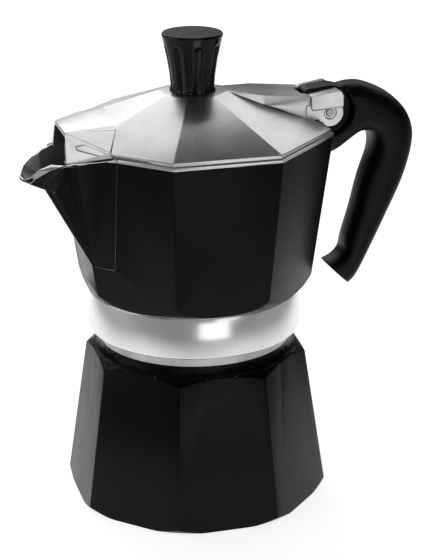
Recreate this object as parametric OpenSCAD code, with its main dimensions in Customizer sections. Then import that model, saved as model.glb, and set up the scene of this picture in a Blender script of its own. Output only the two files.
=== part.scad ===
// Stovetop moka pot: octagonal boiler, screwed-on octagonal collector with a
// pouring spout, hinged lid with a turned knob, and a moulded side handle.
// Millimetres, +Z up. Origin: centre of the boiler's flat underside.
// The spout points along -X and the handle along +X.

/* [Overall] */
// Across the corners of the boiler at its foot
base_across = 92.1; // [76:0.5:112]
// Foot of the boiler to the underside of the collar band
boiler_height = 59.7; // [50:0.1:80]
// Diameter of the collar band where the two halves screw together
collar_d = 72; // [66:0.1:82]
// Height of the collar band
collar_height = 14.5; // [14:0.1:18]
// Across the corners of the collector at its rim
rim_across = 93.88; // [84:0.1:110]
// Top of the collar band to the collector's rim
collector_height = 53.7; // [44:0.1:80]

/* [Walls] */
// Wall of the collector and of the spout
wall = 2.8; // [2.2:0.1:3.4]
// Sheet thickness of the lid
lid_wall = 1.5; // [1.2:0.1:2]
// Solid floor of the boiler
boiler_floor = 4; // [3:0.1:6]

/* [Seal and filter] */
// Inside diameter of the boiler's neck
neck_bore_d = 59.6; // [57:0.1:60]
// Outside diameter of the boiler's neck over its screw thread
neck_d = 65.6; // [64:0.1:66]
// Thickness of the rubber gasket
gasket_height = 3; // [2.5:0.1:3.2]
// Height of the tower the coffee rises through
tower_height = 38.5; // [30:0.5:42]
// Depth of the coffee basket
basket_depth = 22; // [18:0.5:24]

/* [Spout] */
// How far the lip stands out past the rim
spout_reach = 15.4; // [10:0.1:20]

/* [Lid and hinge] */
// Diameter of the hinge pin
hinge_pin_d = 2.54; // [2:0.02:3]
// Space between the lid's two hinge ears
ear_gap = 9; // [8:0.1:10]
// Thickness of one hinge ear
ear_thickness = 4.75; // [3.8:0.05:5]
// Height of the knob above the lid's crown
knob_height = 19.5; // [15:0.1:26]
// Diameter of the knob's top disc
knob_d = 20.4; // [18:0.1:24]

/* [Handle] */
// How far the handle stands out past the hinge pin
handle_reach = 32.1; // [28:0.1:38]
// Hinge pin to the handle's lower end
handle_drop = 63.4; // [56:0.1:72]
// Width of the handle at its widest
handle_width = 17.6; // [16:0.1:20]

/* [Safety valve] */
// Across the flats of the valve's hexagon
valve_hex = 12; // [10:0.5:13]
// Height of the valve's axis above the foot
valve_z = 38; // [34:0.5:40]

/* [Hidden] */
$fn = 96;
oct = 22.5;
c8 = cos(oct);

// Heights of the main joints
z_band = boiler_height;
z_band_top = z_band + collar_height;
z_rim = z_band_top + collector_height;

// Boiler
r_foot = base_across / 2;
r_shoulder = collar_d / 2 + 2.3;
z_shoulder = z_band - 9.3;
neck_r = neck_d / 2;
neck_in = neck_bore_d / 2;
z_neck = z_band + 9.8;
flange_t = 1;

// Collector
collar_r = collar_d / 2;
r_rim = rim_across / 2;
r_low = collar_r + 4.2;
z_low = z_band_top + 4.4;
thread_gap = 0.3;
z_gasket = z_neck + flange_t;
z_plate = z_gasket + gasket_height;
plate_t = 0.8;
gasket_r = neck_r - 0.4;
gasket_in = neck_in - 2.8;
plate_r = neck_in - 1.1;
z_steam = z_plate + 3.3;
z_floor = z_steam + 2.5;
function r_coll(z) = r_low + (r_rim - r_low) * (z - z_low) / (z_rim - z_low);

// Hinge
hinge_x = r_rim * c8 + 1.73;
hinge_z = z_rim + 4.5;
pin_r = hinge_pin_d / 2;
ear_in = ear_gap / 2;
ear_out = ear_in + ear_thickness;
nose_half = ear_in - 0.25;
lug_half = 2.25;

// Lid
r_lid = r_rim - 0.94;
z_lid = z_rim + 0.1;
lid_edge = 1.3;
lid_slope = 0.3448;
r_hub = 11.3;
z_hub = z_lid + lid_edge + lid_slope * (r_lid - r_hub);
knob_z = z_hub + 0.02;
knob_top_z = z_hub + knob_height;

// Knob
knob_low_r = knob_d / 2 - 3;

// Safety valve: axis across +Y, face of the boss and seat of the body
valve_thread_r = 4.9;
valve_washer_t = 0.8;
valve_face_y = (r_foot - valve_z * (r_foot - r_shoulder) / z_shoulder) * c8 + 1.6;
valve_seat = valve_face_y + valve_washer_t;

// Coffee basket and its stem
sheet = 0.8;
basket_r = neck_in - 0.9;
z_basket = z_gasket - basket_depth;
stem_r = 4.6;

// Spout: the side planes pass through the foot corner a, the rim point b and
// the lip point c; the front plane leans out from the foot edge to the keel
sp_za = z_band_top + 0.27 * collector_height;
sp_ax = r_coll(sp_za) * c8;
sp_ay = r_coll(sp_za) * sin(oct);
sp_in = r_rim * c8;
sp_bf = 0.41;
sp_bx = r_rim * (c8 + (sin(oct) - c8) * sp_bf);
sp_by = r_rim * (sin(oct) + (c8 - sin(oct)) * sp_bf);
sp_k = spout_reach / 15.4;
sp_cx = sp_in + 2.5 * sp_k;
sp_cy = 13.96;
sp_cz = z_rim - 5.05;
sp_kx = sp_in + 7.15 * sp_k;
sp_kz = z_rim - 16.7;
sp_n = cross([sp_bx - sp_ax, sp_by - sp_ay, z_rim - 0.55 - sp_za],
             [sp_cx - sp_ax, sp_cy - sp_ay, sp_cz - sp_za]);
sp_len = norm(sp_n);
// Half width of the spout at distance x out and height z, w inside the skin
function sp_y(x, z, w) =
    sp_ay - (sp_n[0] * (x - sp_ax) + sp_n[2] * (z - sp_za)
             + w * sp_len * sign(sp_n[1])) / sp_n[1];
// Distance out of the leaning front face at height z, w inside the skin
function sp_x(z, w) =
    sp_ax + (sp_kx - sp_ax) * (z - sp_za) / (sp_kz - sp_za) - w * 1.135;

// ---------------------------------------------------------------- helpers

// Octagonal frustum with flats facing the axes
module octagon(z0, r0, z1, r1) {
    translate([0, 0, z0]) rotate([0, 0, oct])
        cylinder(h = z1 - z0, r1 = r0, r2 = r1, $fn = 8);
}

// Round bar along Y, centred on the hinge axis
module hinge_bar(r, half) {
    translate([hinge_x, half, hinge_z]) rotate([90, 0, 0])
        cylinder(h = 2 * half, r = r, $fn = 64);
}

// Side profile in X and Z, extruded to a half width in Y
module side_slab(pts, half) {
    translate([0, half, 0]) rotate([90, 0, 0])
        linear_extrude(2 * half) polygon(pts);
}

// Points of an arc, centre c, from angle a0 to a1
function arc(c, r, a0, a1, n = 8) =
    [for (i = [0:n]) c + r * [cos(a0 + (a1 - a0) * i / n),
                              sin(a0 + (a1 - a0) * i / n)]];

// ----------------------------------------------------------------- boiler

module boiler() {
    color([0.03, 0.03, 0.03])
    difference() {
        union() {
            intersection() {
                octagon(0, r_foot, z_shoulder + 8,
                        r_shoulder - 8 * (r_foot - r_shoulder) / z_shoulder);
                // Turned envelope: chamfered foot, leaning shoulder, neck
                rotate_extrude() polygon(concat(
                    [[0, 0], [r_foot - 2.85, 0], [r_foot - 0.35, 2.3],
                     [r_foot + 4, 6.3], [r_foot + 4, z_shoulder - 7.95],
                     [r_shoulder, z_shoulder],
                     [neck_r + 2.5, z_shoulder + 2]],
                    arc([neck_r + 3.8, z_shoulder + 5.7], 3.9, 250, 180, 6),
                    [[neck_r - 0.1, z_shoulder + 8], [0, z_shoulder + 8]]));
            }
            // Neck, at the screw thread's outside diameter
            translate([0, 0, z_shoulder + 4])
                cylinder(h = z_neck - z_shoulder - 4, r = neck_r - 0.1);
            translate([0, 0, z_band - 0.5])
                cylinder(h = z_neck - z_band - 0.3, r = neck_r);
            // Round boss for the safety valve
            translate([0, valve_face_y, valve_z]) rotate([90, 0, 0])
                cylinder(h = 8, r = 8.6);
        }
        // Turned inside
        rotate_extrude() polygon([
            [0, boiler_floor], [r_foot - 10, boiler_floor],
            [r_foot - 7, boiler_floor + 2.4],
            [r_shoulder - 5.4, z_shoulder - 3], [neck_in, z_shoulder + 2.6],
            [neck_in, z_neck - 0.6], [neck_in + 0.6, z_neck + 1],
            [0, z_neck + 1]]);
        // Valve's screwed hole
        translate([0, valve_face_y + 1, valve_z]) rotate([90, 0, 0])
            cylinder(h = 20, r = valve_thread_r + 0.05);
    }
}

// ----------------------------------------------------------- safety valve

module valve_at(y) {
    translate([0, y, valve_z]) rotate([-90, 0, 0]) children();
}

module valve_washer() {
    color([0.75, 0.75, 0.77])
    valve_at(valve_face_y) difference() {
        cylinder(h = valve_washer_t, r = 7.2);
        translate([0, 0, -1]) cylinder(h = 3, r = valve_thread_r + 0.1);
    }
}

module valve_body() {
    color([0.75, 0.6, 0.3])
    valve_at(valve_seat) difference() {
        union() {
            cylinder(h = 4.6, r = valve_hex / 2 / cos(30), $fn = 6);
            cylinder(h = 7.2, r = valve_hex / 2 - 0.6);
            translate([0, 0, -9]) cylinder(h = 9.5, r = valve_thread_r);
        }
        // Spring chamber, open outside, and the steam hole through the seat
        translate([0, 0, -5.5]) cylinder(h = 13.5, r = 3.3);
        translate([0, 0, -10]) cylinder(h = 6, r = 1.4);
        // Recess that holds the retaining ring
        translate([0, 0, 6.2]) cylinder(h = 2, r = 3.9);
    }
}

module valve_plunger() {
    color([0.75, 0.6, 0.3])
    valve_at(valve_seat) {
        translate([0, 0, -5.45]) cylinder(h = 1.6, r = 3.1);
        translate([0, 0, -4]) cylinder(h = 12.6, r = 1.2);
        translate([0, 0, 8.5]) cylinder(h = 0.7, r1 = 1.2, r2 = 0.7);
    }
}

// Coiled wire, drawn as close rings on the spring's mean diameter
module valve_spring() {
    color([0.7, 0.7, 0.72])
    valve_at(valve_seat) union() {
        for (i = [0:5])
            translate([0, 0, -3.4 + i * 1.78]) rotate_extrude()
                translate([2.35, 0]) circle(r = 0.42, $fn = 24);
        // Rising wire between neighbouring coils
        for (i = [0:4])
            translate([2.35 * cos(i * 144), 2.35 * sin(i * 144),
                       -3.4 + i * 1.78])
                cylinder(h = 1.78, r = 0.4, $fn = 24);
    }
}

module valve_retainer() {
    color([0.7, 0.7, 0.72])
    valve_at(valve_seat + 6.2) difference() {
        cylinder(h = 0.9, r = 3.9);
        translate([0, 0, -1]) cylinder(h = 3, r = 1.45);
    }
}

// ------------------------------------------------------- basket and seal

module funnel() {
    color([0.8, 0.8, 0.82])
    rotate_extrude() polygon([
        // Inside: rolled flange, basket wall, cone, stem
        [neck_in - 0.9 - sheet, z_gasket], [neck_r - 1, z_gasket],
        [neck_r - 1, z_neck], [basket_r, z_neck],
        [basket_r, z_basket], [basket_r - 3, z_basket - 2.4],
        [stem_r, z_basket - 9], [stem_r, boiler_floor + 2.2],
        [stem_r - sheet, boiler_floor + 2.2],
        [stem_r - sheet, z_basket - 9 + 0.6],
        [basket_r - 3.4, z_basket - 2.4 + 0.8],
        [basket_r - 3.4, z_basket + 0.4], [basket_r - sheet, z_basket + 0.4]]);
}

// Ring of holes
module holes(r, n, d, h) {
    for (i = [0:n - 1]) rotate([0, 0, i * 360 / n]) translate([r, 0, -1])
        cylinder(h = h + 2, d = d, $fn = 16);
}

module funnel_plate() {
    color([0.8, 0.8, 0.82])
    translate([0, 0, z_basket + 0.45]) difference() {
        cylinder(h = 0.6, r = basket_r - sheet - 0.05);
        holes(0, 1, 1.6, 1);
        holes(5.5, 6, 1.6, 1);
        holes(11, 12, 1.6, 1);
        holes(16.5, 18, 1.6, 1);
        holes(22, 24, 1.6, 1);
    }
}

module gasket() {
    color([0.85, 0.84, 0.8])
    translate([0, 0, z_gasket]) difference() {
        cylinder(h = gasket_height, r = gasket_r);
        translate([0, 0, -1]) cylinder(h = gasket_height + 2, r = gasket_in);
    }
}

module filter_plate() {
    color([0.8, 0.8, 0.82])
    translate([0, 0, z_plate]) difference() {
        cylinder(h = plate_t, r = plate_r);
        holes(0, 1, 1.4, plate_t);
        holes(5, 6, 1.4, plate_t);
        holes(10, 12, 1.4, plate_t);
        holes(15, 18, 1.4, plate_t);
        holes(20, 24, 1.4, plate_t);
    }
}

// -------------------------------------------------------------- collector

// Outline of the spout's rim in X and Z: everything above it is cut away
module spout_rim_cut() {
    k = sp_k;
    pts = [[-10.5, 0], [-9.65, -0.56], [-6.5, -1.74], [-2.84, -2.92], [0.64, -4.19],
           [2.5, -5.05], [4.1, -5.35], [6.4, -5.5], [8.2, -6.55], [10.1, -7.4],
           [11.65, -8.6], [12.8, -9.8], [13.5, -10.7], [14.3, -11.4], [15.8, -11.6]];
    side_slab(concat([for (p = pts) [-(sp_in + p[0] * k), z_rim + p[1]]],
                     [[-(sp_in + 22), z_rim - 11.6], [-(sp_in + 22), z_rim + 12],
                      [-(sp_in - 10.5 * k), z_rim + 12]]), 32);
}

// Wedge of the spout, w inside its skin, from height z0 to z1
module spout_wedge(w, z0, z1, back) {
    hull() for (z = [z0, z1]) translate([0, 0, z]) linear_extrude(0.01)
        polygon([[-sp_x(z, w), -sp_y(sp_x(z, w), z, w)],
                 [-sp_x(z, w), sp_y(sp_x(z, w), z, w)],
                 [-back, sp_y(back, z, w)], [-back, -sp_y(back, z, w)]]);
}

// Hull of points given as distance out, half width and height from the rim
module spout_hull(pts) {
    hull() for (p = pts, s = [-1, 1])
        translate([-(sp_in + p[0] * sp_k), s * p[1], z_rim + p[2]])
            cube(0.02, center = true);
}

// Flared pouring lip
module spout_lip() {
    inner = [[6.4, 10, -5.5], [8.2, 8.3, -6.6], [10.1, 7.9, -7.5], [11.65, 7.4, -8.7],
             [12.8, 7, -9.9], [13.5, 5.6, -10.8], [14.3, 3.3, -11.5], [14.8, 1, -11.7]];
    outer = [[2.5, 13.9, -5.1], [4.6, 12.9, -5.7], [7.2, 11.2, -7.05], [8.4, 10.2, -8],
             [10.2, 9.2, -9.35], [11.8, 8.4, -10.55], [13, 6.8, -12.2]];
    nose = [[15.4, 0.8, -11.8], [15.3, 1.6, -12.3], [14.3, 4, -12.4], [12.9, 6, -12.7]];
    keel = [[11.3, 7, -12.85], [10.1, 8, -13.15], [9, 8.6, -13.9], [5, 9.5, -15]];
    spout_hull(concat(inner, outer, nose, keel));
}

module spout_channel() {
    // Straight-sided run through the wall of the cup
    spout_wedge(wall * 0.8, sp_za + 2.4, z_rim + 4, sp_ax - 9);
    spout_hull([[-8, 10.9, 4], [6.4, 10.8, 4], [-8, 7.2, -15], [5.2, 7, -14.2]]);
    // Pouring groove over the lip
    spout_hull([[5, 8.3, -2], [12.8, 7.4, -3], [13.8, 5.6, -3], [14.6, 3.1, -3],
                [14.9, 1, -3], [5, 8, -8], [12.6, 6.7, -9.9], [13.4, 5, -10.8],
                [14.1, 2.8, -11.45], [14.4, 0.9, -11.6], [5, 6, -14.2], [9, 4.5, -12.2],
                [12, 3, -11.7]]);
}

// Lug plate behind the rim that the handle slides over; g is added all round
module lug(g, half) {
    side_slab(concat(
        [[hinge_x - 4.2 - g, z_rim - 3], [hinge_x - 4.2 - g, hinge_z]],
        arc([hinge_x, hinge_z], 4.2 + g, 180, 0, 12),
        [[hinge_x + 4.2 + g, z_rim - 3], [hinge_x + 0.6 + g, z_rim - 8.5 - g],
         [hinge_x - 6, z_rim - 8.5 - g], [hinge_x - 5, z_rim - 3]]), half);
}

module collector() {
    color([0.03, 0.03, 0.03])
    difference() {
        union() {
            // Collar band with small edge chamfers
            rotate_extrude() polygon([
                [0, z_band], [collar_r - 0.5, z_band], [collar_r, z_band + 0.5],
                [collar_r, z_band_top - 0.4], [collar_r - 0.4, z_band_top],
                [collar_r - 1, z_band_top + 2], [0, z_band_top + 2]]);
            difference() {
                union() {
                    // Octagonal cup over a turned lower cone
                    intersection() {
                        octagon(z_band_top + 0.05, r_coll(z_band_top + 0.05),
                                z_rim, r_rim);
                        rotate_extrude() polygon([
                            [0, z_band_top + 0.05], [collar_r + 0.3, z_band_top + 0.05],
                            [collar_r + 2, z_band_top + 1.3],
                            [r_low - 0.9, z_low - 1.4], [r_low, z_low],
                            [r_low + 2.2, z_low + 6], [r_rim + 9, z_low + 30],
                            [r_rim + 9, z_rim], [0, z_rim]]);
                    }
                    spout_wedge(0, sp_za, z_rim, sp_ax - 6);
                    spout_lip();
                }
                spout_rim_cut();
            }
            lug(0, lug_half);
        }
        // Octagonal cup, with a turned floor
        intersection() {
            octagon(z_floor, r_coll(z_floor) - wall / c8,
                    z_rim + 6, r_coll(z_rim + 6) - wall / c8);
            rotate_extrude() polygon([
                [0, z_floor], [collar_r - 1.4, z_floor], [collar_r + 0.8, z_floor + 2],
                [r_low - wall + 1, z_floor + 6], [r_rim, z_floor + 20],
                [r_rim, z_rim + 7], [0, z_rim + 7]]);
        }
        spout_channel();
        // Screwed socket, gasket seat, filter seat and steam space
        translate([0, 0, z_band - 1]) cylinder(h = z_gasket - z_band + 1, r = neck_r + thread_gap);
        translate([0, 0, z_band - 1]) cylinder(h = z_plate - z_band + 1, r = gasket_r + 0.1);
        translate([0, 0, z_plate - 1]) cylinder(h = plate_t + 1, r = plate_r + 0.1);
        translate([0, 0, z_plate]) cylinder(h = z_steam - z_plate, r = gasket_in);
        // Passage up the tower
        translate([0, 0, z_steam - 0.5]) cylinder(h = z_floor - z_steam + 1, r1 = 5.4, r2 = 4.9);
        hinge_bar(pin_r, 12);
    }
    color([0.03, 0.03, 0.03]) tower();
}

// Hollow tower with a closed cap and two outlet windows near the top
module tower() {
    difference() {
        translate([0, 0, z_floor - 0.6]) union() {
            cylinder(h = tower_height - 3, r1 = 9, r2 = 5.2);
            translate([0, 0, tower_height - 3]) cylinder(h = 3, r1 = 5.2, r2 = 3.4);
        }
        translate([0, 0, z_floor - 1]) cylinder(h = tower_height - 2, r1 = 5.05, r2 = 3);
        translate([0, 0, z_floor + tower_height - 8.5])
            for (a = [90, 270]) rotate([0, 0, a]) translate([0, -2, 0])
                cube([12, 4, 4]);
    }
}

// -------------------------------------------------------- hinge and handle

module hinge_pin() {
    color([0.75, 0.75, 0.77])
    hinge_bar(pin_r, ear_out - 0.35);
}

// Handle stations, all measured from the hinge pin: outer point, inner point
// and half width, from the root on the collector down to the free end
hand = [
    [[-2, 6.9], [-3.2, -16.8], 0.86], [[3, 7.2], [3.4, -15.4], 0.9],
    [[8.2, 8.3], [8.3, -12], 0.96], [[14.2, 8], [12, -9.3], 1],
    [[22.4, 4.3], [15.2, -8.9], 1], [[28.8, -1.6], [16.7, -10.6], 1],
    [[31.8, -8.3], [17.2, -13.6], 0.98], [[31.6, -15.6], [16.6, -17.6], 0.95],
    [[28.9, -26], [13.6, -25.9], 0.9], [[23.6, -37.8], [10.9, -37],  0.86],
    [[18, -49.4], [8.2, -46.6], 0.84], [[13.6, -57.9], [7.5, -51],  0.84],
    [[11.3, -61.6], [4.7, -53.9], 0.84], [[9.6, -63.2], [1.3, -55.2], 0.82]];

function spline(a, b, c, d, t) =
    0.5 * ((2 * b) + (c - a) * t + (2 * a - 5 * b + 4 * c - d) * t * t
           + (3 * b - a - 3 * c + d) * t * t * t);
function station(i, k) = hand[max(0, min(len(hand) - 1, i))][k];
function along(u, k) =
    let (i = min(floor(u), len(hand) - 2), t = u - i)
    spline(station(i - 1, k), station(i, k), station(i + 1, k),
           station(i + 2, k), t);
function soft(v, e) = sign(v) * pow(abs(v), e);

// Lofted bar through the stations with a soft rounded section
module handle_bar(steps = 3, sides = 24) {
    n = (len(hand) - 1) * steps;
    sx = handle_reach / 32.1;
    sz = handle_drop / 63.4;
    pts = [for (i = [0:n]) let (
               u = i / steps, o = along(u, 0), q = along(u, 1),
               w = along(u, 2) * handle_width / 2,
               m = (o + q) / 2, h = (o - q) / 2)
           for (j = [0:sides - 1]) let (
               a = 360 * j / sides, s = soft(cos(a), 0.8),
               p = m + h * s)
           [hinge_x + p[0] * sx, w * soft(sin(a), 0.8), hinge_z + p[1] * sz]];
    ends = [for (i = [0, n]) let (o = along(i / steps, 0), q = along(i / steps, 1))
            [hinge_x + (o[0] + q[0]) / 2 * sx, 0, hinge_z + (o[1] + q[1]) / 2 * sz]];
    count = (n + 1) * sides;
    faces = concat(
        [for (j = [0:sides - 1]) [count, (j + 1) % sides, j]],
        [for (j = [0:sides - 1])
            [count + 1, n * sides + j, n * sides + (j + 1) % sides]],
        [for (i = [0:n - 1], j = [0:sides - 1]) let (
            a = i * sides + j, b = i * sides + (j + 1) % sides)
         each [[a, b + sides, a + sides], [a, b, b + sides]]]);
    polyhedron(points = concat(pts, ends), faces = faces, convexity = 6);
}

module handle() {
    color([0.02, 0.02, 0.02])
    difference() {
        union() {
            difference() {
                handle_bar();
                // Clear the swing of the lid's ears on both sides
                for (s = [-1, 1]) translate([0, s * (nose_half + 14.94), 0]) {
                    hinge_bar(8.7, 15);
                    side_slab([[hinge_x, hinge_z], [hinge_x + 22, hinge_z + 20],
                               [hinge_x, hinge_z + 20], [hinge_x - 22, hinge_z + 20],
                               [hinge_x - 22, hinge_z]], 15);
                }
            }
            // Nose that fills the space between the ears
            side_slab([[hinge_x - 7.5, z_rim + 0.5], [hinge_x + 5, z_rim + 0.5],
                       [hinge_x + 5, hinge_z + 7.5], [hinge_x + 1.9, hinge_z + 8.2],
                       [hinge_x - 6.6, hinge_z + 7.3], [hinge_x - 7.5, hinge_z + 6.4]],
                      nose_half);
        }
        // Seat on the collector's rear flat
        octagon(z_low, r_coll(z_low) + 0.05, z_rim, r_rim + 0.05);
        translate([0, 0, z_rim - 1]) octagon(0, r_rim - 0.1, 1.4, r_rim + 0.05);
        // Pocket over the lug, and the pin's hole
        lug(0.05, lug_half + 0.05);
        hinge_bar(pin_r + 0.05, 14);
    }
}

// -------------------------------------------------------------------- lid

// Hull of points given as distance out from the cup's face, half width and height from the rim
module hood_hull(pts) {
    hull() for (p = pts, s = [-1, 1])
        translate([-(sp_in + p[0]), s * p[1], z_rim + p[2]])
            cube(0.02, center = true);
}

// Hood over the spout: a roof and a side flap on each side
module hood() {
    hood_hull([[-15.1, 11.7, 6.6], [1.5, 8, 4.5], [-9.4, 26.3, 1.9],
               [-9.6, 26.7, 0.1], [2.1, 12.7, -4.7], [-15.1, 11.7, 0.1]]);
}

// Inside of the hood: it keeps the flaps' slope past the open front
module hood_inside() {
    difference() {
        hood_hull([[-15.1, 10.4, 5.2], [3.5, 6.2, 2.8], [-9.4, 24.2, 0.5],
                   [-9.6, 24.6, -5.3], [4.1, 8.2, -10.1], [-15.1, 10.4, -5.3]]);
        translate([-sp_in + 20.5, -40, 0]) cube([60, 80, 300]);
    }
}

// Raised tab between the crown and the hinge, w inside its outer faces
module tab(w) {
    x0 = 10;
    intersection() {
        translate([0, 0, z_rim]) linear_extrude(30) polygon([
            [x0, 4.1 - w], [x0, w - 4.1], [21.8, w - ear_out + 0.35],
            [hinge_x - 7 - w, w - ear_out + 0.35], [hinge_x - 7 - w, ear_out - 0.35 - w],
            [21.8, ear_out - 0.35 - w]]);
        side_slab([[x0, z_hub - 0.1 - w], [hinge_x - 6.7, hinge_z + 6.1 - w],
                   [hinge_x - 6.7, z_rim - 1], [x0, z_rim - 1]], ear_out + 1);
    }
}

// Hinge ears: a deep block over a rounded tongue round the pin
module ears() {
    difference() {
        union() {
            side_slab([[hinge_x - 6.7, hinge_z + 1.9], [hinge_x - 6.1, hinge_z + 1.3],
                       [hinge_x + 4.6, hinge_z + 1.9], [hinge_x + 4.6, hinge_z + 5.6],
                       [hinge_x + 4, hinge_z + 7], [hinge_x + 2.9, hinge_z + 7.5],
                       [hinge_x - 6.7, hinge_z + 6.1]], ear_out);
            hinge_bar(4.6, ear_out - 0.15);
            side_slab([[hinge_x - 8.5, hinge_z - 2], [hinge_x - 3.6, hinge_z - 2],
                       [hinge_x - 3.6, hinge_z + 3], [hinge_x - 8.5, hinge_z + 3]],
                      ear_out - 0.15);
        }
        // Keep clear of the rim
        octagon(z_rim - 8, r_rim + 0.35, z_rim + 0.1, r_rim + 0.35);
    }
}

module lid() {
    color([0.85, 0.85, 0.86])
    difference() {
        union() {
            difference() {
                union() {
                    octagon(z_lid, r_lid, z_lid + lid_edge, r_lid);
                    octagon(z_lid + lid_edge, r_lid, z_hub, r_hub);
                }
                // Sunk field on each side of the hinge tab
                for (s = [-1, 1]) translate([0, 0, z_lid + 2.4])
                    linear_extrude(20) polygon([
                        [23.2, 0], [23.2, s * 9], [31.2, s * 12.92],
                        [r_lid * c8 + 3, s * (r_lid * c8 + 3) * 0.4142],
                        [r_lid * c8 + 3, 0]]);
            }
            hood();
            tab(0);
            ears();
        }
        difference() {
            // Hollow underside
            union() {
                octagon(z_lid - 1, r_lid - 2.7, z_lid + 0.5, r_lid - 2.7);
                octagon(z_lid + 0.49, r_lid - 2.7, z_hub - lid_wall, r_hub - 3.2);
                tab(lid_wall);
            }
            // Floor under the sunk fields, and solid metal round the ears
            for (s = [-1, 1]) translate([0, 0, z_lid + 0.9])
                linear_extrude(20) polygon([
                    [21.9, s * (ear_out - 0.35)], [30.4, s * 14.2],
                    [r_lid, s * (r_lid * 0.4142 + 1.4)],
                    [r_lid, s * (ear_out - 0.35 - lid_wall)],
                    [21.9, s * (ear_out - 0.35 - lid_wall)]]);
            side_slab([[hinge_x - 9.8, z_lid + 0.9], [hinge_x + 6, z_lid + 0.9],
                       [hinge_x + 6, hinge_z + 12], [hinge_x - 9.8, hinge_z + 12]],
                      ear_out - 0.3);
        }
        hood_inside();
        // Slot for the handle's nose
        side_slab(concat(
            [[hinge_x + 9, z_lid - 2], [hinge_x + 9, hinge_z + 16],
             [hinge_x - 6.5, hinge_z + 16]],
            arc([hinge_x, hinge_z], 10.9, 128, 210, 10),
            [[hinge_x - 9.5, z_lid - 2]]), ear_in);
        // Pin's bore, opened out at the ears' outer faces
        hinge_bar(pin_r + 0.05, 20);
        for (s = [-1, 1]) translate([0, s * (ear_out + 4.2), 0]) hinge_bar(2.1, 5);
        // Knob screw's hole
        translate([0, 0, z_hub - 12]) cylinder(h = 20, r = 2.2);
    }
}

// ------------------------------------------------------------------- knob

module knob() {
    color([0.02, 0.02, 0.02])
    difference() {
        rotate_extrude() polygon([
            [0, knob_z], [knob_low_r + 0.5, knob_z], [knob_low_r + 0.5, knob_z + 0.8],
            [knob_low_r, knob_z + 1.3], [knob_low_r + 0.45, knob_z + 6],
            [knob_low_r + 1.25, knob_z + 11], [knob_d / 2 - 0.35, knob_top_z - 2.1],
            [knob_d / 2, knob_top_z - 0.6], [knob_d / 2 - 0.4, knob_top_z],
            [0, knob_top_z]]);
        // Eight finger flutes
        for (i = [0:7]) rotate([0, 0, i * 45])
            translate([knob_low_r + 1.9, 0, knob_z + 1.5])
                rotate([0, atan2(knob_d / 2 - knob_low_r - 1.05, knob_height - 6.9), 0]) {
                    cylinder(h = knob_height - 6.9, r = 2.7);
                    translate([0, 0, knob_height - 6.9]) sphere(r = 2.7);
                    sphere(r = 2.7);
                }
        // Seat of the threaded insert
        translate([0, 0, knob_z - 1]) cylinder(h = 11.5, r = 3);
    }
}

module knob_insert() {
    color([0.75, 0.6, 0.3])
    translate([0, 0, knob_z + 0.3]) difference() {
        cylinder(h = 9.7, r = 3);
        translate([0, 0, -1]) cylinder(h = 10, r = 2);
    }
}

module knob_screw() {
    color([0.7, 0.7, 0.72])
    union() {
        translate([0, 0, z_hub - lid_wall - 1]) cylinder(h = lid_wall + 8.7, r = 2);
        difference() {
            translate([0, 0, z_hub - lid_wall - 3.04]) cylinder(h = 2.2, r1 = 3.2, r2 = 3.6);
            translate([-5, -0.5, z_hub - lid_wall - 4]) cube([10, 1, 2]);
        }
    }
}

module knob_washer() {
    color([0.7, 0.7, 0.72])
    translate([0, 0, z_hub - lid_wall - 0.82]) difference() {
        cylinder(h = 0.8, r = 4.6);
        translate([0, 0, -1]) cylinder(h = 3, r = 2.05);
    }
}

boiler();
valve_body();
valve_washer();
valve_plunger();
valve_spring();
valve_retainer();
funnel();
funnel_plate();
gasket();
filter_plate();
collector();
hinge_pin();
handle();
lid();
knob();
knob_insert();
knob_screw();
knob_washer();
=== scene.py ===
"""Stovetop moka pot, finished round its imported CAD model.

The castings are copies of their CAD solids with the machined edges eased, and the grip and the knob are
remeshed and rounded over. The other CAD pieces keep their shape and get their real finishes. Metres, +Z up,
the spout points along -X.
"""

from math import cos, hypot, pi, radians, sin

import bpy
from mathutils import Matrix, Vector


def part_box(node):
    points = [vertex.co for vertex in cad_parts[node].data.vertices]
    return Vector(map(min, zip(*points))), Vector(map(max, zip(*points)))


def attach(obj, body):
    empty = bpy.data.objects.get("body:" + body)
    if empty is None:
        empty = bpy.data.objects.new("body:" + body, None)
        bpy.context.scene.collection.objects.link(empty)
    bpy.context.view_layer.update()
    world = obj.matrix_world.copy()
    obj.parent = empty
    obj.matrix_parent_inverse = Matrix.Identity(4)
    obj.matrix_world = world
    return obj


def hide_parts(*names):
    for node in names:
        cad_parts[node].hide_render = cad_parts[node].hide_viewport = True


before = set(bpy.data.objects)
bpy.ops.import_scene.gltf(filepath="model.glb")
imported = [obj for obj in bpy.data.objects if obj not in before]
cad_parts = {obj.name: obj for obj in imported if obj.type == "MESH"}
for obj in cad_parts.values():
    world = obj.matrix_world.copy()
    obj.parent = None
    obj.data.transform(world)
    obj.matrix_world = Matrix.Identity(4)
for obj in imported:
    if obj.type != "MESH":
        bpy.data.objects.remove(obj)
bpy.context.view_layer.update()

MM = 0.001

# Heights of the pot's main joints
BAND_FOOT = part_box("collector")[0].z
BAND_TOP = BAND_FOOT + 14.5 * MM
RIM = BAND_TOP + 53.7 * MM
CUP_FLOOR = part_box("filter_plate")[0].z + 5.8 * MM
PAINT_END = RIM - 1.0 * MM

# Distances from the pot's axis that part one surface from the next
SPOUT_START = -36 * MM
LIP_START = -54 * MM
BAND_SKIN = 35 * MM
CUP_SKIN = 34 * MM
RIM_INSIDE = 38 * MM
LUG_START = 38.5 * MM
# The flat of the octagon at the rim, from the middle
FACE_OUT = 93.88 * MM / 2 * cos(pi / 8)


# ------------------------------------------------------------------ modelling helpers

def only(piece):
    """Makes this the one selected and active object."""
    if bpy.context.mode != "OBJECT":
        bpy.ops.object.mode_set(mode="OBJECT")
    bpy.ops.object.select_all(action="DESELECT")
    piece.select_set(True)
    bpy.context.view_layer.objects.active = piece


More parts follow.
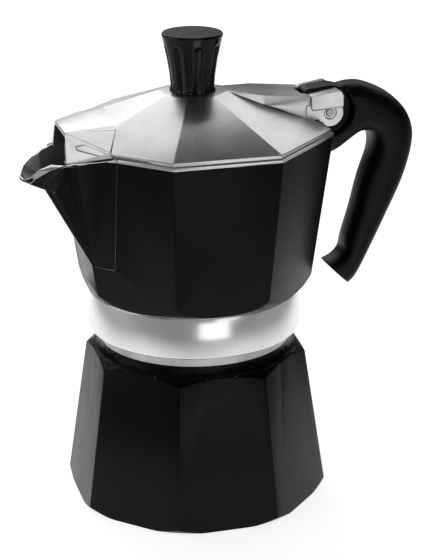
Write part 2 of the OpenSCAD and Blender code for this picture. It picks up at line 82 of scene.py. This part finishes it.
def edit(piece):
    """Opens the piece for editing with all of it selected."""
    only(piece)
    bpy.ops.object.mode_set(mode="EDIT")
    bpy.ops.mesh.select_mode(type="FACE")
    bpy.ops.mesh.select_all(action="SELECT")


def close():
    bpy.ops.object.mode_set(mode="OBJECT")


def modify(piece, kind, **settings):
    """Adds a modifier with these settings and applies it."""
    only(piece)
    change = piece.modifiers.new(kind.title(), kind)
    for name, value in settings.items():
        setattr(change, name, value)
    bpy.ops.object.modifier_apply(modifier=change.name)


def cut(piece, tool):
    """Cuts the piece with another, which is then thrown away."""
    modify(piece, "BOOLEAN", operation="DIFFERENCE", object=tool, solver="EXACT")
    bpy.data.objects.remove(tool, do_unlink=True)


def smooth(piece, angle):
    only(piece)
    bpy.ops.object.shade_smooth_by_angle(angle=radians(angle))


def cad_copy(node, name):
    """A copy of a CAD solid as one merged mesh, with each flat field as one face."""
    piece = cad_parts[node].copy()
    piece.data = piece.data.copy()
    piece.name = name
    piece.data.name = name
    piece.parent = None
    piece.matrix_world = Matrix.Identity(4)
    bpy.context.scene.collection.objects.link(piece)
    edit(piece)
    bpy.ops.mesh.remove_doubles(threshold=0.002 * MM)
    bpy.ops.mesh.dissolve_limited(angle_limit=radians(0.4))
    close()
    return piece


def ease(piece, width, angle=22):
    """Rounds the edges sharper than the angle."""
    modify(piece, "BEVEL", width=width, segments=2, limit_method="ANGLE",
           angle_limit=radians(angle), use_clamp_overlap=False, miter_outer="MITER_ARC")


def finish_piece(piece, body, slot, nodes, *materials):
    """Gives the piece its materials, puts it under its body and hides the CAD nodes it replaces. The slot
    is not used.
    """
    if materials:
        piece.data.materials.clear()
        for material in materials:
            piece.data.materials.append(material)
    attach(piece, body)
    if nodes:
        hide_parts(*nodes)


def paint(piece, choose):
    """Sets each face's material by its middle and normal."""
    for face in piece.data.polygons:
        face.material_index = choose(face.center, face.normal)


# ----------------------------------------------------------------------- materials

def linear(code):
    """An sRGB hex colour as linear RGBA."""
    parts = [int(code[i:i + 2], 16) / 255 for i in (1, 3, 5)]
    return [c / 12.92 if c <= 0.04045 else ((c + 0.055) / 1.055) ** 2.4 for c in parts] + [1.0]


def add(material, kind, settings=None, links=None):
    """Adds a node, sets its properties and sockets, and links its inputs."""
    tree = material.node_tree
    made = tree.nodes.new(kind)
    for name, value in (settings or {}).items():
        if isinstance(name, int) or name in made.inputs:
            made.inputs[name].default_value = value
        else:
            setattr(made, name, value)
    for name, source in (links or {}).items():
        tree.links.new(source, made.inputs[name])
    return made


def new_material(name):
    """A material with its nodes cleared, and the object coordinates that its patterns use."""
    material = bpy.data.materials.new(name)
    material.use_nodes = True
    material.node_tree.nodes.clear()
    place = add(material, "ShaderNodeTexCoord").outputs["Object"]
    return material, place


def ramp_stops(node, stops):
    """Sets a colour ramp to these places and colours."""
    ramp = node.color_ramp
    while len(ramp.elements) > 1:
        ramp.elements.remove(ramp.elements[0])
    ramp.elements[0].position, ramp.elements[0].color = stops[0]
    for position, colour in stops[1:]:
        ramp.elements.new(position).color = colour


def mottle(material, place, size, low, high):
    """A number that wanders between low and high over patches of this size."""
    noise = add(material, "ShaderNodeTexNoise", {"Scale": 1 / size, "Detail": 3.0}, {"Vector": place})
    return add(material, "ShaderNodeMapRange",
               {"From Min": 0.3, "From Max": 0.7, "To Min": low, "To Max": high},
               {"Value": noise.outputs["Fac"]}).outputs["Result"]


def grain_bump(material, place, size, depth):
    """The surface's fine relief: grains of this size and depth."""
    noise = add(material, "ShaderNodeTexNoise", {"Scale": 1 / size, "Detail": 2.0}, {"Vector": place})
    return add(material, "ShaderNodeBump", {"Strength": 1.0, "Distance": depth},
               {"Height": noise.outputs["Fac"]}).outputs["Normal"]


def surface(material, settings, links):
    """The shader and the output that finish a material."""
    shader = add(material, "ShaderNodeBsdfPrincipled", settings, links)
    add(material, "ShaderNodeOutputMaterial", None, {"Surface": shader.outputs["BSDF"]})
    return material


def tint(material, place, size, dark, light):
    """A colour that wanders between two shades over patches of this size."""
    noise = add(material, "ShaderNodeTexNoise", {"Scale": 1 / size, "Detail": 4.0}, {"Vector": place})
    ramp = add(material, "ShaderNodeValToRGB", None, {"Fac": noise.outputs["Fac"]})
    ramp_stops(ramp, [(0.35, linear(dark)), (0.65, linear(light))])
    return ramp.outputs["Color"]


def baked_black_coating():
    """Sprayed and baked satin black on a cast body: deep black with a soft, slightly uneven gloss."""
    material, place = new_material("baked_black_coating")
    relief = grain_bump(material, place, 0.9 * MM, 0.006 * MM)
    return surface(material, {"IOR": 1.2},
                   {"Base Color": tint(material, place, 9 * MM, "#050505", "#080808"),
                    "Roughness": mottle(material, place, 14 * MM, 0.26, 0.34),
                    "Normal": relief})


def turned_band_aluminium():
    """Lathe-polished aluminium: mirror bright, with lines round it that draw reflections up and down."""
    material, place = new_material("turned_band_aluminium")
    axes = add(material, "ShaderNodeSeparateXYZ", None, {"Vector": place})
    # Lathe lines about 0.3 mm apart, coarse enough to show
    lines = add(material, "ShaderNodeTexNoise", {"noise_dimensions": "1D", "Scale": 1.0, "Detail": 2.0},
                {"W": add(material, "ShaderNodeMath", {"operation": "MULTIPLY", 1: 1 / (0.3 * MM)},
                          {0: axes.outputs["Z"]}).outputs["Value"]})
    relief = add(material, "ShaderNodeBump", {"Strength": 1.0, "Distance": 0.0025 * MM},
                 {"Height": lines.outputs["Fac"]})
    round_axis = add(material, "ShaderNodeTangent", {"direction_type": "RADIAL", "axis": "Z"})
    return surface(material, {"Metallic": 1.0, "Anisotropic": 0.8, "Roughness": 0.16},
                   {"Base Color": tint(material, place, 20 * MM, "#dcdddf", "#e6e6e7"),
                    "Normal": relief.outputs["Normal"], "Tangent": round_axis.outputs["Tangent"]})


def bare_cast_aluminium():
    """As-cast aluminium inside the cups: pale grey, dull, faintly pebbled."""
    material, place = new_material("bare_cast_aluminium")
    relief = grain_bump(material, place, 0.8 * MM, 0.02 * MM)
    return surface(material, {"Metallic": 0.7},
                   {"Base Color": tint(material, place, 6 * MM, "#c8c9ca", "#d8d9da"),
                    "Roughness": mottle(material, place, 5 * MM, 0.5, 0.62), "Normal": relief})


def blasted_aluminium():
    """The lid's underside, blasted and not buffed: pale matt grey that catches light from every side."""
    material, place = new_material("blasted_aluminium")
    relief = grain_bump(material, place, 0.5 * MM, 0.02 * MM)
    return surface(material, {"Metallic": 0.6},
                   {"Base Color": tint(material, place, 6 * MM, "#dadbdc", "#e4e4e5"),
                    "Roughness": mottle(material, place, 5 * MM, 0.55, 0.68), "Normal": relief})


def ground_rim_aluminium():
    """Freshly ground aluminium edge: bright and smooth."""
    material, place = new_material("ground_rim_aluminium")
    relief = grain_bump(material, place, 0.6 * MM, 0.003 * MM)
    return surface(material, {"Metallic": 1.0},
                   {"Base Color": tint(material, place, 8 * MM, "#d6d7d8", "#e2e2e3"),
                    "Roughness": mottle(material, place, 6 * MM, 0.2, 0.28), "Normal": relief})


def buffed_lid_aluminium():
    """Buffed cast aluminium: bright satin facets with faint drifting polish marks."""
    material, place = new_material("buffed_lid_aluminium")
    relief = grain_bump(material, place, 1.6 * MM, 0.004 * MM)
    return surface(material, {"Metallic": 1.0},
                   {"Base Color": tint(material, place, 12 * MM, "#dedede", "#eaeaea"),
                    "Roughness": mottle(material, place, 10 * MM, 0.26, 0.33), "Normal": relief})


def spun_aluminium():
    """Spun sheet: rings round the axis from the spinning tool."""
    material, place = new_material("spun_aluminium")
    flat = add(material, "ShaderNodeMapping", {"Scale": (1.0, 1.0, 0.0)}, {"Vector": place})
    radius = add(material, "ShaderNodeVectorMath", {"operation": "LENGTH"},
                 {0: flat.outputs["Vector"]}).outputs["Value"]
    rings = add(material, "ShaderNodeTexNoise", {"noise_dimensions": "1D", "Scale": 1.0},
                {"W": add(material, "ShaderNodeMath", {"operation": "MULTIPLY", 1: 1 / (0.5 * MM)},
                          {0: radius}).outputs["Value"]})
    relief = add(material, "ShaderNodeBump", {"Strength": 1.0, "Distance": 0.005 * MM},
                 {"Height": rings.outputs["Fac"]})
    return surface(material, {"Metallic": 1.0},
                   {"Base Color": tint(material, place, 8 * MM, "#c2c3c5", "#d2d3d4"),
                    "Roughness": mottle(material, place, 6 * MM, 0.28, 0.38),
                    "Normal": relief.outputs["Normal"]})


def satin_phenolic():
    """Moulded phenolic grip: black with a soft satin sheen and a faint moulding texture."""
    material, place = new_material("satin_phenolic")
    relief = grain_bump(material, place, 0.7 * MM, 0.008 * MM)
    return surface(material, {"IOR": 1.3},
                   {"Base Color": tint(material, place, 7 * MM, "#040404", "#070707"),
                    "Roughness": mottle(material, place, 9 * MM, 0.36, 0.44), "Normal": relief})


def polished_phenolic():
    """Polished phenolic knob: glossy black."""
    material, place = new_material("polished_phenolic")
    relief = grain_bump(material, place, 1.5 * MM, 0.003 * MM)
    return surface(material, {"IOR": 1.42},
                   {"Base Color": tint(material, place, 5 * MM, "#040404", "#060606"),
                    "Roughness": mottle(material, place, 7 * MM, 0.13, 0.19), "Normal": relief})


def stamped_phenolic():
    """The knob's flat top, left from the mould: dark grey and less glossy."""
    material, place = new_material("stamped_phenolic")
    relief = grain_bump(material, place, 0.6 * MM, 0.012 * MM)
    return surface(material, {"IOR": 1.35},
                   {"Base Color": tint(material, place, 4 * MM, "#121213", "#171718"),
                    "Roughness": mottle(material, place, 5 * MM, 0.4, 0.5), "Normal": relief})


def drawn_steel():
    """Drawn and plated steel: pin, screw, ring and spring wire."""
    material, place = new_material("drawn_steel")
    relief = grain_bump(material, place, 0.3 * MM, 0.003 * MM)
    return surface(material, {"Metallic": 1.0},
                   {"Base Color": tint(material, place, 2 * MM, "#9c9da0", "#b4b5b8"),
                    "Roughness": mottle(material, place, 2 * MM, 0.22, 0.32), "Normal": relief})


def turned_brass():
    """Turned brass of the safety valve: warm yellow with tool marks."""
    material, place = new_material("turned_brass")
    relief = grain_bump(material, place, 0.35 * MM, 0.004 * MM)
    return surface(material, {"Metallic": 1.0},
                   {"Base Color": tint(material, place, 3 * MM, "#b08d4c", "#c9a55f"),
                    "Roughness": mottle(material, place, 3 * MM, 0.22, 0.34), "Normal": relief})


def moulded_silicone():
    """Off-white moulded seal: matte and slightly waxy."""
    material, place = new_material("moulded_silicone")
    relief = grain_bump(material, place, 0.8 * MM, 0.01 * MM)
    return surface(material, {"IOR": 1.41, "Subsurface Weight": 0.15, "Subsurface Scale": 1.5 * MM},
                   {"Base Color": tint(material, place, 6 * MM, "#cfcabc", "#dad6ca"),
                    "Roughness": mottle(material, place, 5 * MM, 0.5, 0.62), "Normal": relief})


def floor_with_painted_glow():
    """Pale board with painted light: it glows in a soft-edged lane behind the pot only, a painted pool of
    light that stands in for lamp light on the floor.
    """
    material, place = new_material("floor_with_painted_glow")
    turned = add(material, "ShaderNodeVectorRotate", {"rotation_type": "Z_AXIS", "Angle": radians(15.5)},
                 {"Vector": place})
    lane = add(material, "ShaderNodeSeparateXYZ", None, {"Vector": turned.outputs["Vector"]})
    aside = add(material, "ShaderNodeMath", {"operation": "ABSOLUTE"}, {0: lane.outputs["X"]})
    # The painted glow's lane reaches 0.09 m to each side at the pot, and 0.25 m more for each metre further
    # back
    edge = add(material, "ShaderNodeMath", {"operation": "MULTIPLY_ADD", 1: -0.25, 2: -0.09},
               {0: lane.outputs["Y"]})
    past = add(material, "ShaderNodeMath", {"operation": "ADD"},
               {0: aside.outputs["Value"], 1: edge.outputs["Value"]})
    across = add(material, "ShaderNodeMapRange",
                 {"interpolation_type": "SMOOTHSTEP", "From Min": 0.0, "From Max": 0.15,
                  "To Min": 0.8, "To Max": 0.1}, {"Value": past.outputs["Value"]})
    back = add(material, "ShaderNodeMapRange",
               {"interpolation_type": "SMOOTHSTEP", "From Min": -0.2, "From Max": -0.07},
               {"Value": lane.outputs["Y"]})
    # Painted light: the floor's emission is bright in the lane and only faint outside it
    painted_glow = add(material, "ShaderNodeMath", {"operation": "MULTIPLY"},
               {0: across.outputs["Result"], 1: back.outputs["Result"]})
    return surface(material, {"Base Color": linear("#f4f4f2"), "Roughness": 0.9, "Specular IOR Level": 0.1,
                              "Emission Color": linear("#ffffff")},
                   {"Emission Strength": painted_glow.outputs["Value"]})


COATING = baked_black_coating()
BAND = turned_band_aluminium()
CAST = bare_cast_aluminium()
GROUND = ground_rim_aluminium()
LINING = blasted_aluminium()
BUFFED = buffed_lid_aluminium()
SPUN = spun_aluminium()
GRIP = satin_phenolic()
GLOSS = polished_phenolic()
MOULDED_TOP = stamped_phenolic()
STEEL = drawn_steel()
BRASS = turned_brass()
SEAL = moulded_silicone()


# ------------------------------------------------------------------------- pieces

def radius_of(point):
    return hypot(point.x, point.y)


def boiler():
    """The cast boiler: coated outside, bare inside and on the screwed neck."""
    piece = cad_copy("boiler", "boiler_cup")
    ease(piece, 0.35 * MM)
    finish_piece(piece, "boiler", "black_enamel", ["boiler"], COATING, CAST)
    neck_foot = BAND_FOOT - 3 * MM

    def choose(middle, normal):
        on_neck = middle.z > neck_foot
        inward = normal.x * middle.x + normal.y * middle.y < -0.1 * radius_of(middle)
        inside = radius_of(middle) < 40 * MM and (inward or 3 * MM < middle.z < 8 * MM)
        return 1 if on_neck or inside else 0

    paint(piece, choose)
    smooth(piece, 24)


def collector():
    """The cast collector: coated outside, with a bare collar band, rim, mouth and inside."""
    piece = cad_copy("collector", "collector_cup")
    edit(piece)
    bpy.ops.mesh.bisect(plane_co=(0, 0, PAINT_END), plane_no=(0, 0, 1))
    close()
    ease(piece, 0.3 * MM, angle=20)
    finish_piece(piece, "collector", "black_enamel", ["collector"], COATING, BAND, CAST, GROUND)

    def spout_face(middle, normal):
        """Coated outside, bare inside, and ground along the edges that slope with the rim."""
        toward_middle = -normal.y if middle.y > 0 else normal.y
        if normal.z > 0.6 and (abs(middle.y) > 6.5 * MM or middle.x < LIP_START):
            return 3
        return 2 if toward_middle > 0.05 or normal.z > 0.25 or normal.x > 0.3 else 0

    def choose(middle, normal):
        out = radius_of(middle)
        if middle.z < BAND_TOP + 0.1 * MM:
            return 1 if out > BAND_SKIN else 2
        if middle.x < SPOUT_START and middle.z > CUP_FLOOR + 14 * MM:
            return spout_face(middle, normal)
        outward = normal.x * middle.x + normal.y * middle.y > 0
        if middle.x > LUG_START and abs(middle.y) < 2.6 * MM:
            return 2
        if middle.z > PAINT_END and out > RIM_INSIDE:
            return 3
        if normal.z > 0.25 and out > 33 * MM and middle.z > CUP_FLOOR + 20 * MM:
            return 3
        return 0 if outward and out > CUP_SKIN else 2

    paint(piece, choose)
    smooth(piece, 24)


def flap_cutter(side):
    """A block standing on the hood flap's plane, from its lower front corner to its back corner."""
    low = Vector((-FACE_OUT - 2.1 * MM, side * 12.7 * MM, RIM - 4.7 * MM))
    back = Vector((-FACE_OUT + 9.4 * MM, side * 26.3 * MM, RIM + 1.9 * MM))
    front = Vector((-FACE_OUT - 1.5 * MM, side * 8.0 * MM, RIM + 4.5 * MM))
    along = (back - low).normalized()
    outward = along.cross(front - low).normalized()
    if outward.x > 0:
        outward = -outward
    up = outward.cross(along)
    depth = 6 * MM
    middle = (low + back) / 2 + outward * (depth / 2 + 0.03 * MM)
    bpy.ops.mesh.primitive_cube_add(size=1)
    block = bpy.context.active_object
    block.matrix_world = (Matrix.Translation(middle)
                          @ Matrix((along, up, outward)).transposed().to_4x4()
                          @ Matrix.Diagonal(((back - low).length, 9 * MM, depth, 1.0)))
    return block


def lid():
    """The cast lid, with the plate's front corners dressed back flush with the hood's flaps."""
    piece = cad_copy("lid", "lid_shell")
    for side in (-1, 1):
        cut(piece, flap_cutter(side))
    ease(piece, 0.22 * MM, angle=14)
    finish_piece(piece, "lid", "lid_aluminium", ["lid"], BUFFED, LINING)
    paint(piece, lambda middle, normal: 1 if normal.z < -0.05 and middle.z > RIM - 8 * MM else 0)
    smooth(piece, 20)


def soften(node, name, cell, passes, body, slot, *materials):
    """A moulded piece: its CAD solid remeshed finely, with every edge rounded over."""
    piece = cad_copy(node, name)
    modify(piece, "REMESH", mode="VOXEL", voxel_size=cell, use_smooth_shade=True)
    modify(piece, "SMOOTH", factor=0.5, iterations=passes)
    finish_piece(piece, body, slot, [node], *materials)
    return piece


def handle():
    soften("handle", "handle_grip", 0.4 * MM, 6, "collector", "handle_plastic", GRIP)


def knob():
    piece = soften("knob", "knob_fluted", 0.28 * MM, 4, "lid", "knob_plastic", GLOSS, MOULDED_TOP)
    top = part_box("knob")[1].z
    paint(piece, lambda middle, normal: 1 if normal.z > 0.9 and middle.z > top - 0.3 * MM else 0)


def fittings():
    """CAD nodes whose shape stays, with their real finishes."""
    finishes = {"valve_body": BRASS, "valve_plunger": BRASS, "valve_washer": SPUN, "valve_retainer": STEEL,
                "valve_spring": STEEL, "funnel": SPUN, "funnel_plate": SPUN, "gasket": SEAL,
                "filter_plate": SPUN, "hinge_pin": STEEL, "knob_insert": BRASS, "knob_screw": STEEL,
                "knob_washer": STEEL}
    for node, material in finishes.items():
        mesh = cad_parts[node].data
        for index in range(len(mesh.materials)):
            mesh.materials[index] = material


boiler()
collector()
lid()
handle()
knob()
fittings()


# -------------------------------------------------------------- floor, light, camera

def floor():
    bpy.ops.object.select_all(action="DESELECT")
    bpy.ops.mesh.primitive_plane_add(size=8, location=(0, 0, 0))
    board = bpy.context.active_object
    board.name = "floor"
    # The floor's material paints a glowing lane of light behind the pot
    board.data.materials.append(floor_with_painted_glow())


def softbox(name, place, target, width, height, watts):
    """A large soft area light that the camera doesn't see."""
    data = bpy.data.lights.new(name, "AREA")
    data.shape = "RECTANGLE"
    data.size = width
    data.size_y = height
    data.energy = watts
    lamp = bpy.data.objects.new(name, data)
    bpy.context.scene.collection.objects.link(lamp)
    lamp.location = place
    lamp.rotation_mode = "QUATERNION"
    lamp.rotation_quaternion = (Vector(target) - Vector(place)).to_track_quat("-Z", "Y")
    lamp.visible_camera = False


def card(name, place, target, width, height, brightness):
    """A softbox set by how bright it looks in a mirror, with 1 as white."""
    softbox(name, place, target, width, height, brightness * pi * width * height)


def lights():
    card("overhead", (-0.25, 1.2, 1.3), (0.0, 0.0, 0.1), 1.7, 1.3, 0.95)
    card("backdrop", (-0.15, 2.2, 1.0), (0.0, 0.0, 0.2), 1.4, 0.8, 1.0)
    card("right_back", (0.9, 1.0, 0.95), (0.0, 0.0, 0.1), 1.0, 0.9, 0.9)
    card("left", (-1.1, 0.08, 0.4), (0.0, 0.0, 0.1), 0.9, 0.75, 0.95)
    card("front_fill", (-0.2, -1.2, 0.5), (0.0, 0.0, 0.1), 1.4, 0.8, 0.75)
    card("ear_glint", (0.15, -0.42, 0.02), (0.045, 0.0, 0.13), 0.2, 0.14, 1.0)
    card("low_front", (0.015, -0.2, 0.006), (0.0, 0.0, 0.065), 0.11, 0.07, 1.2)
    world = bpy.data.worlds.new("studio")
    bpy.context.scene.world = world
    world.use_nodes = True
    world.node_tree.nodes["Background"].inputs["Color"].default_value = linear("#f2f3f5")
    world.node_tree.nodes["Background"].inputs["Strength"].default_value = 0.06
    bpy.context.scene.view_settings.view_transform = "Standard"


CAMERA_AZIMUTH = radians(-14.848)
CAMERA_DISTANCE = 584.38 * MM
CAMERA_HEIGHT = 286.68 * MM
CAMERA_YAW, CAMERA_PITCH, CAMERA_ROLL = radians(0.697), radians(19.952), radians(-0.25)


def camera():
    data = bpy.data.cameras.new("camera")
    data.sensor_width = 36
    data.lens = 116.63
    eye = bpy.data.objects.new("camera", data)
    bpy.context.scene.collection.objects.link(eye)
    eye.location = (CAMERA_DISTANCE * sin(CAMERA_AZIMUTH), -CAMERA_DISTANCE * cos(CAMERA_AZIMUTH),
                    CAMERA_HEIGHT)
    turn = Matrix.Rotation(CAMERA_AZIMUTH - CAMERA_YAW, 4, "Z")
    tip = Matrix.Rotation(pi / 2 - CAMERA_PITCH, 4, "X")
    eye.rotation_euler = (turn @ tip @ Matrix.Rotation(CAMERA_ROLL, 4, "Z")).to_euler()
    bpy.context.scene.camera = eye


floor()
lights()
camera()
